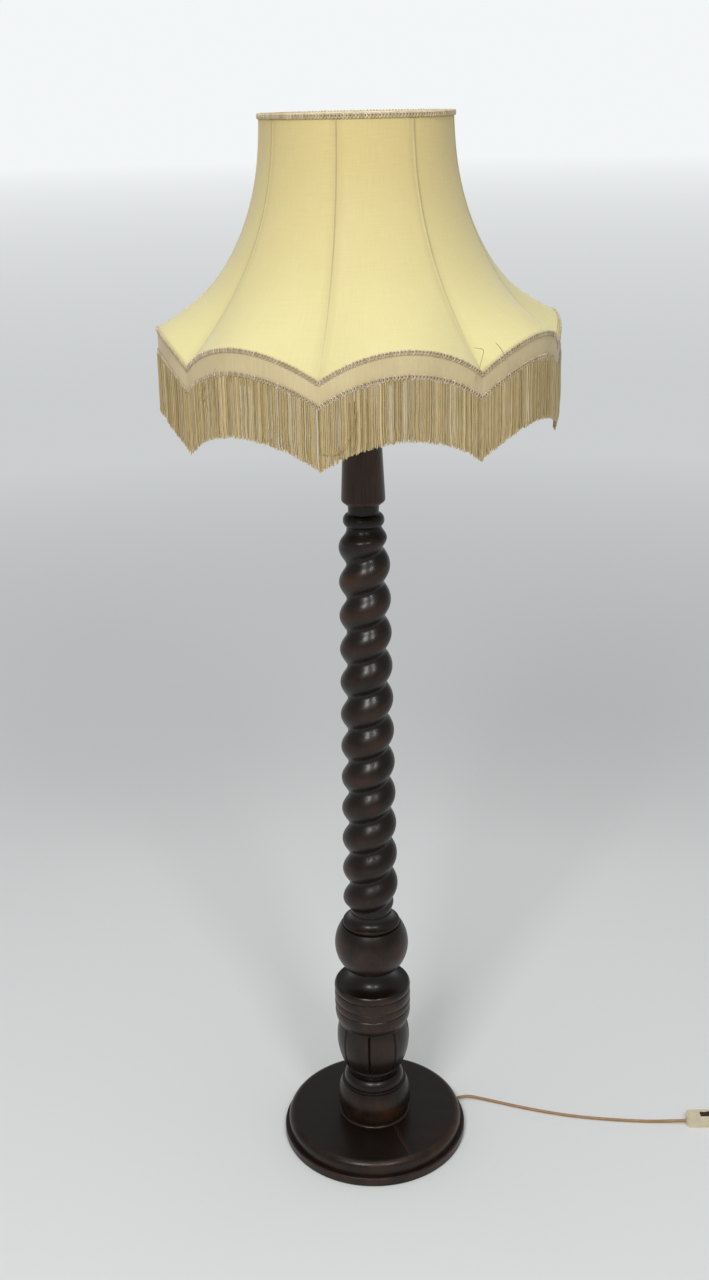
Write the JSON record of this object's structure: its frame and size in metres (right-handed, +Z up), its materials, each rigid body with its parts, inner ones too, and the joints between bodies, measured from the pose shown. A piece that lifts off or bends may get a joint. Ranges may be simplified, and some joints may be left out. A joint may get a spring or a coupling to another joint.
{
  "type": "floor lamp",
  "caption": "Candlestick floor lamp: dark turned wood standard with a right-handed twist and a gadrooned vase on a round base, scalloped cloth shade with braid and long fringe, switched lead.",
  "frame": {"origin": "floor level at the centre of the round base, directly below the stem", "axes": "+Z up along the stem, -Y towards the viewer in the picture's front view, +X to the right where the lead leaves"},
  "size_m": [1.0285, 0.5672, 1.657],
  "materials": {
    "felt": "short green nap",
    "dark_wood": "satin varnish over a very dark stain, rubbed red-brown on the edges",
    "neck_wood": "satin varnish, slightly redder than the column",
    "brass": "aged satin",
    "steel": "dull zinc",
    "frame_wire": "cream enamel",
    "porcelain": "glossy white glaze",
    "bulb_cap": "pressed thread, satin",
    "bulb_glass": "clear",
    "shade_cloth": "plain weave, pale cream-yellow",
    "collar_cloth": "plain beige band",
    "braid": "tan gimp braid with small loops",
    "fringe": "fine twisted threads, gold-beige",
    "flex": "gold-brown sheath",
    "switch_shell": "cream, smooth",
    "switch_rocker": "dark red-black, smooth",
    "plug_shell": "cream, smooth",
    "rubber": "black, matt"
  },
  "bodies": {
    "stand": {"felt_pad": "felt", "base_disc": "dark_wood", "flex_clamp": "steel", "clamp_screws": "steel", "cord_grommet": "rubber", "base_washer": "steel", "base_nut": "steel", "pedestal_foot": "dark_wood", "gadrooned_vase": "dark_wood", "ball_knop": "dark_wood", "twist_column": "dark_wood", "candle_neck": "neck_wood", "centre_tube": "steel", "inner_flex": "flex", "neck_cap": "brass", "lock_nut": "brass", "stem_sleeve": "brass", "holder_cap": "brass", "holder_shell": "brass", "holder_insert": "porcelain", "cord_to_switch": "flex", "cord_coil": "flex", "cord_tie": "rubber", "cord_to_coil": "flex", "cord_to_plug": "flex", "switch_base": "switch_shell", "switch_cover": "switch_shell", "switch_screws": "steel", "switch_contacts": "brass", "plug_body": "plug_shell", "plug_pins": "brass"},
    "shade": {"shade_cover": "shade_cloth", "collar_band": "collar_cloth", "braid_top": "braid", "braid_upper": "braid", "braid_lower": "braid", "fringe": "fringe", "frame_ribs": "frame_wire", "upper_hem_wire": "frame_wire", "lower_hem_wire": "frame_wire", "collar_struts": "frame_wire", "carrier_ring": "frame_wire", "carrier_arms": "frame_wire", "top_ring": "frame_wire"},
    "shade_ring_nut": {"shade_ring_nut": "brass"},
    "bulb": {"bulb_cap": "bulb_cap", "bulb_glass": "bulb_glass"},
    "rocker": {"switch_rocker": "switch_rocker"}
  },
  "joints": [
    {"name": "shade_turn", "type": "hinge", "parent": "stand", "child": "shade", "pos_m": [0, 0, 1.5125], "axis": [0, 0, 1], "continuous": true},
    {"name": "ring_nut_turn", "type": "hinge", "parent": "stand", "child": "shade_ring_nut", "pos_m": [0, 0, 1.5177], "axis": [0, 0, 1], "range_deg": [0, 3240]},
    {"name": "bulb_turn", "type": "hinge", "parent": "stand", "child": "bulb", "pos_m": [0, 0, 1.5106], "axis": [0, 0, 1], "range_deg": [0, 1800]},
    {"name": "rocker_tilt", "type": "hinge", "parent": "stand", "child": "rocker", "pos_m": [0.572, -0.009, 0.0144], "axis": [0, 1, 0], "range_deg": [0, 16]}
  ]
}
